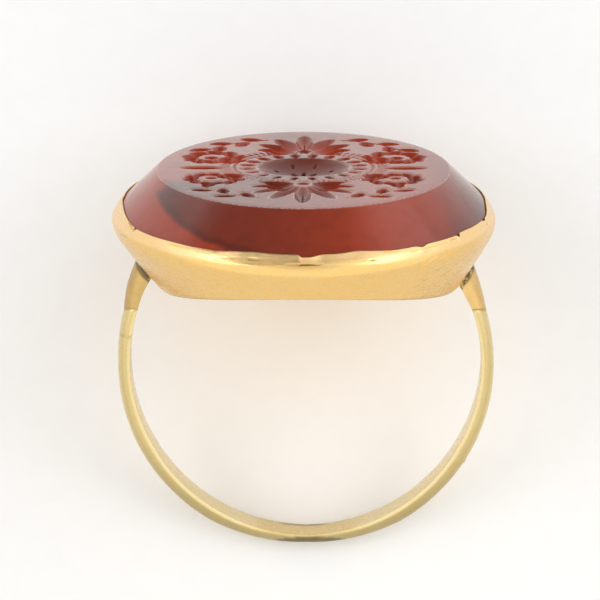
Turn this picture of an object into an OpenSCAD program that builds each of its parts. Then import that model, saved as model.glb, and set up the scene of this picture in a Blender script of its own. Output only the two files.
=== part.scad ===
// Signet ring with an engraved oval seal stone, lying on its side.
// The pieces are drawn upright first: the middle of the finger hole is at the
// origin, X runs across the finger, Y along it and Z up to the stone. The last
// step lays them down on the hoop's edge and the bezel's lip.

/* [Hoop] */
// Inner diameter of the finger hoop
hoop_bore = 17.7; // [17:0.1:18.4]
// Width of the half-round hoop along the finger
hoop_w = 1.8; // [1.4:0.1:2.2]
// Thickness of the hoop at its worn foot, opposite the stone
hoop_t = 0.58; // [0.5:0.02:0.9]
// Thickness of the hoop on both sides of its foot
low_t = 0.84; // [0.7:0.02:0.9]
// How far the foot is pressed out of round
foot_drop = 0.2; // [0:0.05:0.3]
// Height angle of the seams where the shoulders begin
seam_angle = 17; // [10:1:20]
// Thickness of a shoulder where it meets the bezel
shoulder_t = 1.1; // [0.8:0.05:1.2]
// Width of a shoulder where it meets the bezel
shoulder_w = 2.6; // [1.8:0.1:3.2]

/* [Bezel] */
// Width of the bezel across the finger
bezel_w = 19.2; // [19:0.02:19.6]
// Length of the bezel along the finger
bezel_l = 22.26; // [21.6:0.02:23]
// Height of the bezel's widest line above the middle of the hoop
bezel_h = 7.5; // [7.4:0.1:7.7]
// Height of the arched underside above the middle of the hoop
back_h = 5.8; // [5.7:0.1:6]
// Radius of the arched underside
back_r = 19.6; // [18:0.2:24]
// Thickness of the back plate
back_t = 0.4; // [0.3:0.05:0.5]
// How far the head sits to one side of the hoop's middle
head_shift = -0.12; // [-0.2:0.02:0.2]
// How far the bezel drifts back to the other side per millimetre below its widest line
head_skew = 0.08; // [0:0.01:0.1]

/* [Stone] */
// Width of the flat table across the finger
table_w = 14.64; // [14:0.1:15.2]
// Length of the flat table along the finger
table_l = 17.6; // [17:0.1:18.4]
// Height of the table above the middle of the hoop
table_h = 9.96; // [9.6:0.1:10.4]
// Clearance between the stone and its setting
seat_gap = 0.05; // [0.03:0.01:0.08]

/* [Seal] */
// Depth of the hollow medallion, the deepest cut
medal_depth = 0.6; // [0.3:0.05:0.8]
// Half-width of the medallion across the finger
medal_a = 2.4; // [2:0.1:2.6]
// Half-length of the medallion along the finger
medal_b = 2.1; // [1.8:0.1:2.4]
// Flutes that ring the medallion
flutes = 20; // [16:4:24]
// Depth of the leaves, scrolls and petals
leaf_depth = 0.34; // [0.2:0.02:0.4]

/* [Hidden] */
gold = "#E8C07A";
carnelian = "#8C3226";

bore_r = hoop_bore / 2;
bezel_a = bezel_w / 2;
oval = bezel_l / bezel_w;

// Outside of the bezel, upwards from its foot to the lip rubbed over the stone
wall = [for (p = [
        // in from the widest line, height from it
        [0.71, -1.45], [0.42, -1.00], [0.17, -0.60], [0.03, -0.27],
        [0.00, 0.00], [0.03, 0.24], [0.10, 0.46], [0.16, 0.58], [0.25, 0.65]])
    [bezel_a - p[0], bezel_h + p[1]]];
lip = wall[len(wall) - 1];
// Millimetres that the straight foot of the wall leans out per millimetre of height, and how
// deep in it the shoulders end
lean = 0.72;
solder = 0.2;
// Lower edge of the stone's bevel, its widest line, and the line where its lower side meets the
// lean of the wall
bevel = [bezel_a - 0.26, bezel_h + 0.55];
girdle = [bezel_a - 0.17, bezel_h + 0.2];
bed = [bezel_a - 1.1, bezel_h - 1.2];

// Hoop thickness at its sides and the height angle where the shoulders end
side_t = 0.64;
top_angle = 32;
// Hoop thickness and shoulder flare by height angle: -90 is the foot
thickness = [[-90, hoop_t], [-60, low_t], [-30, low_t - 0.04], [0, side_t],
    [seam_angle, side_t + 0.01], [top_angle, shoulder_t]];
width = [[-90, hoop_w], [seam_angle, hoop_w], [top_angle, shoulder_w]];
// How far the inside has been pressed out of round, and the share of the head's shift that
// the shoulders follow, by height angle
pressed = [[-90, foot_drop], [-60, foot_drop / 2], [-30, 0.02], [0, 0.04], [top_angle, 0.04]];
follow = [[0, 0], [seam_angle, 0.4], [24, 1]];
// Section points on the half-round, and sections between the two shoulders
section_steps = 8;
hoop_steps = 60;

// Points round the bezel, and cells across the engraved field of the table
around = 72;
cells = 64;
// Share of the table that the engraved field covers
field = 0.93;

// Height of the arched back at u across the finger, and the oval point at angle t
function arch(u, r) = back_h - back_r + sqrt(r * r - u * u);
function oval_point(a, z, t, stretch) =
    [a * cos(t) + head_skew * max(bezel_h - z, 0), stretch * a * sin(t), z];

// Where a side that leans through the point p meets the arched back of radius r
function foot(p, r, t, n = 8, a = bore_r) = n == 0
    ? oval_point(a, arch(a * cos(t), r), t, oval)
    : foot(p, r, t, n - 1, p[0] - lean * (p[1] - arch(a * cos(t), r)));

// Faces of a band between ring i and the ring above it, each of n points
function band(i, n) = [for (k = [0:n - 1]) let (m = (k + 1) % n)
    [i * n + k, i * n + m, (i + 1) * n + m, (i + 1) * n + k]];
// Faces of a cylinder-like bottom straight across ring i, from side to side
function across(i, n) = [for (k = [0:n / 2 - 1])
    [i * n + k, i * n + (n - k) % n, i * n + n - k - 1, i * n + k + 1]];
function flipped(faces) = [for (f = faces) [for (k = [len(f) - 1:-1:0]) f[k]]];

// Lowest point of the lip and of the hoop when the ring leans back with its head
// raised by the angle a, and the angle at which both touch the ground
function lip_low(a) = min([for (p = wall) p[1] * sin(a) - oval * p[0] * cos(a)]);
function hoop_edge(a, up) = min([for (s = [0:180 / section_steps:180])
    -hoop_w / 2 * cos(s) * (up ? sin(a) : cos(a))
    - (bore_r + foot_drop + hoop_t * sin(s)) * (up ? cos(a) : sin(a))]);
function settle(lo, hi, n) = let (mid = (lo + hi) / 2)
    n == 0 ? mid
    : lip_low(mid) < hoop_edge(mid, false) ? settle(mid, hi, n - 1)
    : settle(lo, mid, n - 1);
lie = settle(10, 60, 40);

// Middle of the ring's plan once it lies down
far_y = table_l / 2 * sin(lie) + table_h * cos(lie);
mid_y = (far_y + hoop_edge(lie, true)) / 2;
side_r = bore_r + lookup(0, pressed) + side_t;
mid_x = (max(bezel_a + head_shift, side_r) + min(head_shift - bezel_a, -side_r)) / 2;

module lay_down() {
    translate([-mid_x, -mid_y, -hoop_edge(lie, false)]) rotate([lie - 90, 0, 0]) children();
}

// Oval cup: arched back, leaning wall, rubbed-over lip, and the seat inside
module cup() {
    angles = [for (k = [0:around - 1]) k * 360 / around];
    seat = [
        [lip[0], lip[1] - 0.04],
        [bevel[0] + seat_gap, bevel[1]],
        [girdle[0] + seat_gap, girdle[1]],
        [bed[0] + seat_gap, bed[1]]];
    rings = concat(
        [[for (t = angles) foot(wall[0], back_r, t)]],
        [for (p = wall) [for (t = angles) oval_point(p[0], p[1], t, oval)]],
        [for (p = seat) [for (t = angles) oval_point(p[0], p[1], t, oval)]],
        [[for (t = angles) foot(seat[3], back_r + back_t, t)]]);
    last = len(rings) - 1;
    translate([head_shift, 0, 0]) polyhedron(
        points = [for (ring = rings) for (p = ring) p],
        faces = flipped(concat(
            across(0, around),
            [for (i = [0:last - 1]) for (f = band(i, around)) f],
            flipped(across(last, around)))));
}

// Height angle at which a point of the hoop, rho from its axis, is halfway into the
// bezel's wall on one side
function reach(rho, side, lo = 16, hi = 50, n = 30) =
    let (mid = (lo + hi) / 2, z = rho * sin(mid), drift = side * head_skew * (bezel_h - z))
    n == 0 ? mid
    : rho * cos(mid) > wall[0][0] + drift - solder - lean * (wall[0][1] - z)
    ? reach(rho, side, mid, hi, n - 1)
    : reach(rho, side, lo, mid, n - 1);

// Half-round hoop and its shoulders, swept from one side of the bezel to the other
module hoop() {
    sides = section_steps + 1;
    rings = [for (i = [0:hoop_steps]) [for (k = [0:section_steps])
        let (
            run = 2 * i / hoop_steps - 1,
            s = k * 180 / section_steps,
            rough = abs(run) * (90 + top_angle) - 90,
            rho = bore_r + lookup(rough, pressed) + lookup(rough, thickness) * sin(s),
            side = run < 0 ? -1 : 1,
            high = abs(run) * (90 + reach(rho, side)) - 90)
        [side * rho * cos(high) + head_shift * lookup(rough, follow),
            -lookup(rough, width) / 2 * cos(s), rho * sin(high)]]];
    polyhedron(
        points = [for (ring = rings) for (p = ring) p],
        faces = flipped(concat(
            [[for (k = [section_steps:-1:0]) k]],
            [for (i = [0:hoop_steps - 1]) for (f = band(i, sides)) f],
            [[for (k = [0:section_steps]) hoop_steps * sides + k]])));
}

// Soldered metal
module setting() {
    color(gold) {
        cup();
        hoop();
    }
}

// Wheel cuts of the seal as [x, y, half-length, half-width, turn, depth], on the right half
// of the table: the left half mirrors them
medal_y = 0.3;
flute_l = 0.44;
flute_w = 0.27;
flute_depth = 0.26;
petal_w = 0.45;
lobe_w = 0.38;
leaf_w = 0.37;
pearl_r = 0.36;
medallion = [
    [0, medal_y, medal_a, medal_b, 0, medal_depth],
    for (k = [0:flutes - 1]) let (t = (k + 0.5) * 360 / flutes) if (cos(t) > 0) [
        (medal_a + flute_l) * cos(t), medal_y + (medal_b + flute_l) * sin(t),
        flute_l, flute_w, t, flute_depth]];
// Pearl with a fan of petals, step degrees apart and each shorter by drop
function palmette(y, first, step, l, drop) = concat(
    [[0, y, pearl_r, pearl_r, 0, leaf_depth]],
    [for (k = [0:4]) let (t = first + k * step, r = l - k * drop, d = r + pearl_r)
        [d * cos(t), y + d * sin(t), r, petal_w, t, leaf_depth]]);
// Pearl with lobes on a closing spiral round it, which starts at the angle first
function volute(x, y, first, step, r) = concat(
    [[x, y, pearl_r, pearl_r, 0, leaf_depth]],
    [for (k = [0:10]) let (t = first + k * step, d = r * (1 - 0.045 * k))
        [x + d * cos(t), y + d * sin(t), 0.72 - 0.02 * k, lobe_w, t + 62 * sign(step), leaf_depth]]);
// Five leaves set left and right of a bowed stem that runs from a to b
function spray(a, b, bow, l) = [for (k = [0:4])
    let (
        s = k / 4,
        run = b - a,
        heading = atan2(run[1], run[0]) + bow * 120 * (0.5 - s),
        p = a + s * run + bow * sin(180 * s) * [-run[1], run[0]] / 3,
        t = heading + (k % 2 == 0 ? 40 : -40))
    [p[0] + l * cos(t), p[1] + l * sin(t), l, leaf_w, t, leaf_depth]];

cuts = concat(medallion,
    palmette(3.9, 90, -27, 1.7, 0.22), palmette(-3.35, -90, 25, 1.95, 0.25),
    volute(4.7, 2.35, 215, -38, 1.4), volute(4.55, -2.15, 145, 38, 1.35),
    [[5.1, 0.1, 1.15, 0.4, 0, leaf_depth]],
    spray([2.2, 6.5], [4.8, 4.4], 0.3, 0.6), spray([2.4, -6.4], [4.75, -4.25], -0.3, 0.64));
// The same cuts as two unit directions scaled to their half-lengths
blades = [for (c = cuts)
    [c[0], c[1], cos(c[4]) / c[2], sin(c[4]) / c[2], cos(c[4]) / c[3], sin(c[4]) / c[3], c[5]]];
function cut_to(x, y) = max([0, for (c = blades)
    let (dx = x - c[0], dy = y - c[1], p = dx * c[2] + dy * c[3], q = dy * c[4] - dx * c[5])
    c[6] * (1 - p * p - q * q)]);

// Engraved stone: table, one broad bevel, a blunt girdle and a lower side bedded in the seat
module stone() {
    n = cells;
    side = n + 1;
    // a square grid drawn out to the oval field
    grid = [for (j = [0:n]) for (i = [0:n])
        let (p = 2 * i / n - 1, q = 2 * j / n - 1,
            x = field * table_w / 2 * p * sqrt(1 - q * q / 2),
            y = field * table_l / 2 * q * sqrt(1 - p * p / 2))
        [x, y, table_h - (abs(p) == 1 || abs(q) == 1 ? 0 : cut_to(abs(x), y))]];
    // its edge points, once round from the middle of the right side
    m = 4 * n;
    edge = [for (k = [0:m - 1]) let (r = (k + n / 2) % n, s = floor((k + n / 2) / n) % 4)
        s == 0 ? r * side + n : s == 1 ? n * side + n - r : s == 2 ? (n - r) * side : r];
    turns = [for (k = edge) atan2(grid[k][1] / table_l, grid[k][0] / table_w)];
    rings = [
        [for (t = turns) foot(bed, back_r + back_t + seat_gap, t)],
        [for (t = turns) oval_point(bed[0], bed[1], t, oval)],
        [for (t = turns) oval_point(girdle[0], girdle[1], t, oval)],
        [for (t = turns) oval_point(bevel[0], bevel[1], t, oval)],
        [for (t = turns) oval_point(table_w / 2, table_h, t, table_l / table_w)]];
    top = len(rings) * m;
    color(carnelian) translate([head_shift, 0, 0]) polyhedron(
        points = concat([for (ring = rings) for (p = ring) p], grid),
        faces = flipped(concat(
            [for (i = [0:len(rings) - 2]) for (f = band(i, m)) f],
            [for (k = [0:m - 1]) let (l = (k + 1) % m)
                [top - m + k, top - m + l, top + edge[l], top + edge[k]]],
            [for (j = [0:n - 1]) for (i = [0:n - 1])
                let (c = j * side + i, level = abs(grid[c][2] - grid[c + side + 1][2])
                    < abs(grid[c + 1][2] - grid[c + side][2]))
                for (f = level
                    ? [[0, 1, side + 1], [0, side + 1, side]]
                    : [[0, 1, side], [1, side + 1, side]])
                    [for (v = f) top + c + v]],
            across(0, m))));
}

lay_down() setting();
lay_down() stone();
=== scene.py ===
import math

import bmesh
import bpy
import numpy as np
from mathutils import Matrix, Quaternion, Vector, noise


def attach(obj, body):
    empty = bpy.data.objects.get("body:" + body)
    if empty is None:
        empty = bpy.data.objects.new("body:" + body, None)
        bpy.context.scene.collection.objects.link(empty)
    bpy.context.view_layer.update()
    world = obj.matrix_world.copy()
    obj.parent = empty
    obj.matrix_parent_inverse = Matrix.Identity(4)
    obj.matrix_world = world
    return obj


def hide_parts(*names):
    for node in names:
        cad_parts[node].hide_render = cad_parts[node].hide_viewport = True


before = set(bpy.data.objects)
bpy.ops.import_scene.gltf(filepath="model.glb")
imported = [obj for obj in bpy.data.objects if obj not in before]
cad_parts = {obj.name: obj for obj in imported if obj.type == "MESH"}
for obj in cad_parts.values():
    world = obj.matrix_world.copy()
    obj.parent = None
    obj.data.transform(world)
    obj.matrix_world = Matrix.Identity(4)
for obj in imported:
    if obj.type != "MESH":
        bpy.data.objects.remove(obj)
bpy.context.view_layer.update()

bl_info = {
    "name": "Intaglio Signet Ring",
    "version": (1, 0, 0),
    "blender": (4, 5, 0),
    "location": "View3D > Sidebar > Signet Ring",
    "description": "Builds a worn gold signet ring with an engraved oval carnelian",
    "category": "Add Mesh",
}

# The ring is drawn upright, as in the part's source: the middle of the finger hole is at the
# origin, X runs across the finger, Y along it and Z up to the stone, in millimetres.
# LAY_DOWN puts it on its side, on the hoop's foot and the bezel's lip, in metres.
MM = 0.001
LIE = math.radians(31.9899)
RESTS_AT = Vector((0.095, -2.3744, 5.61723))
LAY_DOWN = (
    Matrix.Diagonal((MM, MM, MM, 1))
    @ Matrix.Translation(RESTS_AT)
    @ Matrix.Rotation(LIE - math.pi / 2, 4, "X")
)


# Sizes and colours


def linear(code):
    """Linear colour of an sRGB hex value."""
    parts = [int(code[k : k + 2], 16) / 255 for k in (1, 3, 5)]
    return [c / 12.92 if c <= 0.04045 else ((c + 0.055) / 1.055) ** 2.4 for c in parts]


def length(name, description, millimetres):
    """A length property with its default in millimetres."""
    return bpy.props.FloatProperty(
        name=name, description=description, default=millimetres * MM, unit="LENGTH", precision=5
    )


def colour(name, description, code):
    """A colour property with its default as an sRGB hex value."""
    return bpy.props.FloatVectorProperty(
        name=name, description=description, default=linear(code), subtype="COLOR", min=0, max=1
    )


class HoopSizes(bpy.types.PropertyGroup):
    """Sizes of the finger hoop and its shoulders"""

    bore: length("Bore", "Inner diameter of the finger hoop", 17.7)
    width: length("Width", "Width of the half-round hoop along the finger", 1.8)
    foot: length("Foot thickness", "Thickness of the worn foot, opposite the stone", 0.58)
    drop: length("Foot drop", "How far the foot is pressed out of round", 0.2)
    low: length("Low thickness", "Thickness on both sides of the foot", 0.84)
    side: length("Side thickness", "Thickness at both sides of the finger", 0.64)
    shoulder: length("Shoulder thickness", "Thickness where a shoulder meets the bezel", 1.1)
    shoulder_width: length("Shoulder width", "Width where a shoulder meets the bezel", 2.6)
    seam_angle: bpy.props.FloatProperty(
        name="Seam height",
        description="Angle of the seams above the middle of the finger hole",
        default=math.radians(17),
        subtype="ANGLE",
    )


class BezelSizes(bpy.types.PropertyGroup):
    """Sizes of the gold cup that holds the stone"""

    width: length("Width", "Width of the bezel across the finger", 19.2)
    length: length("Length", "Length of the bezel along the finger", 22.26)
    back: length("Back height", "Height of the arched underside above the hoop's middle", 5.8)
    arch: length("Back radius", "Radius of the arched underside", 19.6)
    plate: length("Back plate", "Thickness of the back plate", 0.4)
    shift: length("Head shift", "How far the head sits to one side of the hoop", -0.12)
    skew: bpy.props.FloatProperty(
        name="Head skew",
        description="Drift of the bezel to the other side for each millimetre below its widest line",
        default=0.08,
        subtype="FACTOR",
    )


class StoneSizes(bpy.types.PropertyGroup):
    """Sizes of the seal stone"""

    width: length("Table width", "Width of the flat table across the finger", 14.64)
    length: length("Table length", "Length of the flat table along the finger", 17.6)
    height: length("Table height", "Height of the table above the hoop's middle", 9.96)
    edge: length("Worn edge", "Radius to which the table's edge is worn", 0.06)
    cells: bpy.props.IntProperty(
        name="Cells", description="Cells across the engraved field", default=256, min=32, max=270
    )


class RingColours(bpy.types.PropertyGroup):
    """Colours of the metals, the stone and the floor"""

    rose: colour("Rose gold", "Gold of the bezel and shoulders", "#EDC279")
    yellow: colour("Yellow gold", "Gold of the hoop", "#DCC88F")
    # tarnish colour, also mixed in where shade and dark reflections are painted on the hoop and
    # shoulders
    tarnish: colour("Tarnish", "Dirt and tarnish in seams and solder", "#5A4A2A")
    # painted light: the stone's colour where light is painted coming through it
    painted_glow: colour("Glow", "Stone where light comes through it", "#A63817")
    # the smoky veil's colour, also the painted shade where no light is painted coming through the
    # stone
    smoke_and_shade: colour("Smoke", "Smoky veil in the stone", "#551A0E")
    # fine rubbing and painted sheen on the stone's table
    haze_and_sheen: colour("Haze", "Fine rubbing on the stone's table", "#DADDD7")
    # painted glints on the near cuts' rims and painted highlight on the table's worn edge, with
    # their bruising
    burr_glint: colour("Burr", "Bruised edges in the stone", "#CBB6AF")
    floor: colour("Floor", "Paper that the ring lies on", "#FAFAF9")


# Shapes


# Radius in millimetres at which a profile is spun, before its points are placed
BLANK = 9.0


def blend(a, b, t):
    """Value from a to b at the share t."""
    return a + (b - a) * t


def ease(a, b, x):
    """Smooth share of the way from a to b."""
    t = min(max((x - a) / (b - a), 0), 1)
    return t * t * (3 - 2 * t)


def span(x, start, full, fade, stop):
    """Share that rises from start to full and falls from fade to stop."""
    return ease(start, full, x) * ease(stop, fade, x)


def hump(x, width):
    """Soft bump of height 1 at x = 0."""
    return math.exp(-((x / width) ** 2))


def between(table, x):
    """Value at x of a table of (x, value) pairs."""
    return float(np.interp(x, [row[0] for row in table], [row[1] for row in table]))


def drawn(points, step):
    """Smooth curve through points, with a point about every step millimetres."""
    ends = [points[0], *points, points[-1]]
    out = []
    for a, b, c, d in zip(ends, ends[1:], ends[2:], ends[3:]):
        a, b, c, d = Vector(a), Vector(b), Vector(c), Vector(d)
        n = max(1, round((c - b).length / step))
        for k in range(n):
            t = k / n
            out.append(
                0.5 * (2 * b + (c - a) * t + (2 * a - 5 * b + 4 * c - d) * t**2
                       + (3 * b - a - 3 * c + d) * t**3)
            )
    return out + [Vector(points[-1])]


def waver(x, y, z):
    """Gentle unevenness of hand work, from about -1 to 1."""
    return noise.noise(Vector((x, y, z)))


def linked(name, data):
    """Object of some data, in the scene."""
    thing = bpy.data.objects.new(name, data)
    bpy.context.scene.collection.objects.link(thing)
    return thing


def meshed(bm, name, material):
    """Object of a shape, in one material."""
    mesh = bpy.data.meshes.new(name)
    bm.to_mesh(mesh)
    bm.free()
    mesh.materials.append(material)
    return linked(name, mesh)


def make_piece(bm, name, material, node, sharp):
    """Lays a shape down, makes it an object with edges sharp from an angle, and ties it."""
    bmesh.ops.transform(bm, matrix=LAY_DOWN, verts=bm.verts)
    bmesh.ops.recalc_face_normals(bm, faces=bm.faces)
    piece = meshed(bm, name, material)
    piece.data.shade_smooth()
    piece.data.set_sharp_from_angle(angle=math.radians(sharp))
    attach(piece, "root")
    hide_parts(node)


# Bezel


# Profile points are (distance inside the bezel's widest line, height).
# Outside of the wall from above its foot to the lip
WALL = [
    (0.71, 6.05), (0.42, 6.50), (0.17, 6.90), (0.03, 7.23),
    (0.00, 7.50), (0.03, 7.75), (0.10, 7.97), (0.19, 8.12),
]
# Edge of the lip rubbed down on the stone, and the hidden seat inside
LIP = [(0.215, 8.135), (0.24, 8.12), (0.255, 8.07)]
SEAT = [(0.21, 8.05), (0.12, 7.70), (1.05, 6.30)]
# Height of the wall's widest line, and how far its foot leans out per millimetre of height
WIDEST = 7.5
LEAN = 0.72
# How far the lip's edge goes in and up for each millimetre that it creeps up the stone
CREEP_IN = 0.737
CREEP_UP = 0.675
# Uneven stretches of the lip: angles where each starts, is full, fades and stops, and its creep.
# The first runs over the left end, so it starts before -180 degrees.
LIP_SPANS = [
    (-226, -200, -174, -146, 0.42),
    (-17, -1, 20, 46, 0.30),
    (-117, -109, -69, -62, 0.09),
    (-33, -29, 181, 182, 0.06),
    (-36.4, -35.4, -33, -29, 0.07),
    (-91.2, -89.9, -88.0, -83.4, -0.15),
]
# Swellings, dips and nicks of the lip as (angle, half-width in degrees, creep)
LIP_SPOTS = [
    (-104, 4, 0.05), (-73.5, 4, 0.09), (-52.6, 1.5, -0.11),
    (-36.8, 0.6, -0.13), (-18.4, 1.2, -0.10), (-150.2, 0.5, -0.14),
]
# Lower edge of the flat burnished on the front of the lip, as (angle, height)
FLAT = [(-117, 7.72), (-110, 7.68), (-101, 7.64), (-94, 7.73), (-85, 7.76), (-68, 7.81)]
# Length of a degree round the wall, for its marks
DEGREE = 0.18
# Marks on the wall as (angle, height) to (angle, height), depth and half-width in millimetres
MARKS = [
    ((-94.8, 7.73), (-84.4, 7.75), 0.055, 0.024),
    ((-83.5, 7.79), (-68.0, 7.81), 0.014, 0.018),
    ((-71.0, 7.83), (-68.0, 7.80), 0.030, 0.022),
    ((-116.4, 7.73), (-114.4, 7.83), 0.024, 0.018),
    ((-114.8, 7.82), (-109.0, 7.94), 0.012, 0.018),
    ((-116.4, 7.73), (-110.5, 7.68), 0.014, 0.018),
    ((-105.9, 7.95), (-101.5, 7.90), 0.022, 0.020),
    ((-103.9, 7.50), (-103.2, 7.45), 0.020, 0.018),
    ((-133.5, 8.06), (-126.5, 8.02), 0.016, 0.020),
    ((-127.0, 8.02), (-117.5, 7.97), 0.012, 0.018),
    ((-156.4, 8.18), (-151.0, 8.05), 0.050, 0.028),
    ((-151.0, 7.96), (-149.6, 8.20), 0.050, 0.026),
    ((-161.2, 7.50), (-152.2, 7.58), 0.022, 0.028),
    ((-66.0, 8.14), (-61.0, 8.06), 0.022, 0.018),
    ((-57.0, 7.98), (-43.0, 7.96), 0.014, 0.018),
    ((-41.0, 8.03), (-38.2, 8.01), 0.026, 0.022),
    ((-18.6, 7.96), (-17.0, 7.88), 0.022, 0.026),
    ((38.0, 7.70), (55.0, 7.95), 0.018, 0.022),
    ((100.0, 7.85), (118.0, 7.80), 0.018, 0.022),
    ((150.0, 7.95), (160.0, 7.80), 0.020, 0.022),
]
# Middle of the joints with the shoulders, as distance from the middle plane and height
JOINT = (8.2, 5.1)


def mark_depth(turn, height):
    """Depth and dirt of the marks at a place on the wall."""
    depth = 0.0
    dirt = 0.0
    for (t0, h0), (t1, h1), deep, wide in MARKS:
        # nothing of a mark shows more than 2 degrees past its ends
        if abs(turn - (t0 + t1) / 2) > abs(t1 - t0) / 2 + 2:
            continue
        a = Vector((t0 * DEGREE, h0))
        run = Vector((t1 * DEGREE, h1)) - a
        way = Vector((turn * DEGREE, height)) - a
        share = min(max(way.dot(run) / run.length_squared, 0), 1)
        gap = (way - share * run).length
        taper = math.sin(math.pi * (0.12 + 0.76 * share))
        depth = max(depth, deep * taper * hump(gap, wide))
        dirt = max(dirt, min(deep * 18, 1) * taper * hump(gap, wide * 0.9))
    return depth, dirt


def lip_creep(turn):
    """How far the lip's edge climbs the stone at an angle, in millimetres."""
    t = math.radians(turn)
    creep = 0.020 * waver(5 * math.cos(t), 5 * math.sin(t), 2.0)
    for *places, rise in LIP_SPANS:
        x = turn - 360 if places[0] < -180 and turn > 0 else turn
        creep += rise * span(x, *places)
    for middle, width, rise in LIP_SPOTS:
        creep += rise * hump(turn - middle, width)
    return creep


class Cup:
    """Sizes of the bezel in millimetres, and the places of its points."""

    def __init__(self, sizes):
        self.half = sizes.width / MM / 2
        self.oval = sizes.length / sizes.width
        self.back = sizes.back / MM
        self.arch = sizes.arch / MM
        self.plate = sizes.plate / MM
        self.shift = sizes.shift / MM
        self.skew = sizes.skew
        self.wall, self.lip, self.seat = (self.outward(rows) for rows in (WALL, LIP, SEAT))

    def outward(self, rows):
        """Profile points as (half-width, height)."""
        return [(self.half - inside, h) for inside, h in rows]

    def arched(self, u, above=0.0):
        """Height of the arched back at u across the finger, or of a layer above it."""
        return self.back - self.arch + math.sqrt((self.arch + above) ** 2 - u * u)

    def foot(self, point, t, above=0.0):
        """Half-width and height at which a side that leans through a point meets the back."""
        a = point[0]
        for _ in range(9):
            h = self.arched(a * math.cos(t), above)
            a = point[0] - LEAN * (point[1] - h)
        return a, h

    def place(self, a, h, t, oval=None):
        """Point at a half-width, height and angle."""
        drift = self.shift + self.skew * max(WIDEST - h, 0)
        return Vector((a * math.cos(t) + drift, (oval or self.oval) * a * math.sin(t), h))

    def flattened(self, a, h, turn, creep):
        """Half-width of the wall once its lip is burnished flat in front and at both ends."""
        front = span(turn, -117.5, -112, -71, -66)
        ends = max(ease(148, 166, abs(turn)), ease(24, 8, abs(turn)))
        low = between(FLAT, turn) if front else 7.78
        top, high = self.wall[-1]
        high += CREEP_UP * creep
        if not low < h < high:
            return a
        foot = between([(z, half) for half, z in self.wall], low)
        chord = blend(foot, top - CREEP_IN * creep, (h - low) / (high - low))
        return min(a, blend(a, chord, max(front, ends)))


def crept(a, h, creep):
    """A point near the lip, moved up the stone."""
    return a - CREEP_IN * creep, h + CREEP_UP * creep


def wall_point(cup, a, h, t, creep):
    """Half-width, height and dirt of a point on the wall, or below 0 its rubbing wear and painted
    highlight.
    """
    turn = math.degrees(t)
    a, h = crept(a, h, creep * ease(7.66, 8.12, h))
    a = cup.flattened(a, h, turn, creep)
    depth, dirt = mark_depth(turn, h)
    if dirt < 0.02:
        # the lip and both ends are lighter: rubbing wear, with a painted highlight on the lip's
        # ridge and a painted reflection at both ends, the flat in front less so
        ends = ease(0.82, 0.97, abs(math.cos(t))) * ease(6.6, 7.4, h)
        flat = span(turn, -117, -108, -74, -66) * ease(8.02, 7.92, h)
        dirt = -max(ease(7.5, 7.8, h) * (1 - 0.55 * flat), 0.6 * ends)
    return a - depth, h, dirt


def bezel_point(cup, kind, value, t, column):
    """Place and dirt of a profile point at an angle round the cup, or below 0 the painted highlight
    on its lip and ends.

    A column holds the lip's creep at the angle, and where wall and seat meet the back.
    """
    creep, foot, floor = column
    dirt = 0.0
    if kind == "under":
        a = value * foot[0]
        h = cup.arched(a * math.cos(t)) + 0.02 * ease(0.95, 1.0, value)
    elif kind == "rising":
        a = blend(foot[0], cup.wall[0][0], value) - 0.035 * ease(0.05, 0, value)
        h = blend(foot[1], cup.wall[0][1], value)
        dirt = 0.55 * ease(0.08, 0, value)
    elif kind == "wall":
        a, h, dirt = wall_point(cup, *value, t, creep)
    elif kind == "lip":
        a, h = crept(*value, creep)
        dirt = 0.4 if value == cup.lip[-1] else 0.0
    elif kind == "seat":
        # only its upper end follows the lip
        a, h = crept(*value, creep if value == cup.seat[0] else 0)
        dirt = 1.0
    else:
        a = value * floor[0]
        h = cup.arched(a * math.cos(t), cup.plate)
        dirt = 1.0
    if kind in ("rising", "wall"):
        a += 0.010 * waver(3.5 * t, 1.2 * h, 3.0) - 0.013
    spot = cup.place(a, h, t)
    if kind == "rising":
        # solder smears where the shoulders join the wall
        reach = Vector((abs(spot.x - cup.shift) - JOINT[0], 0.5 * spot.y, spot.z - JOINT[1]))
        smear = 0.7 * ease(0.8, 0.3, reach.length + 0.25 * waver(*(2.2 * spot)))
        dirt = max(dirt, smear)
    return spot, dirt


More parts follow.
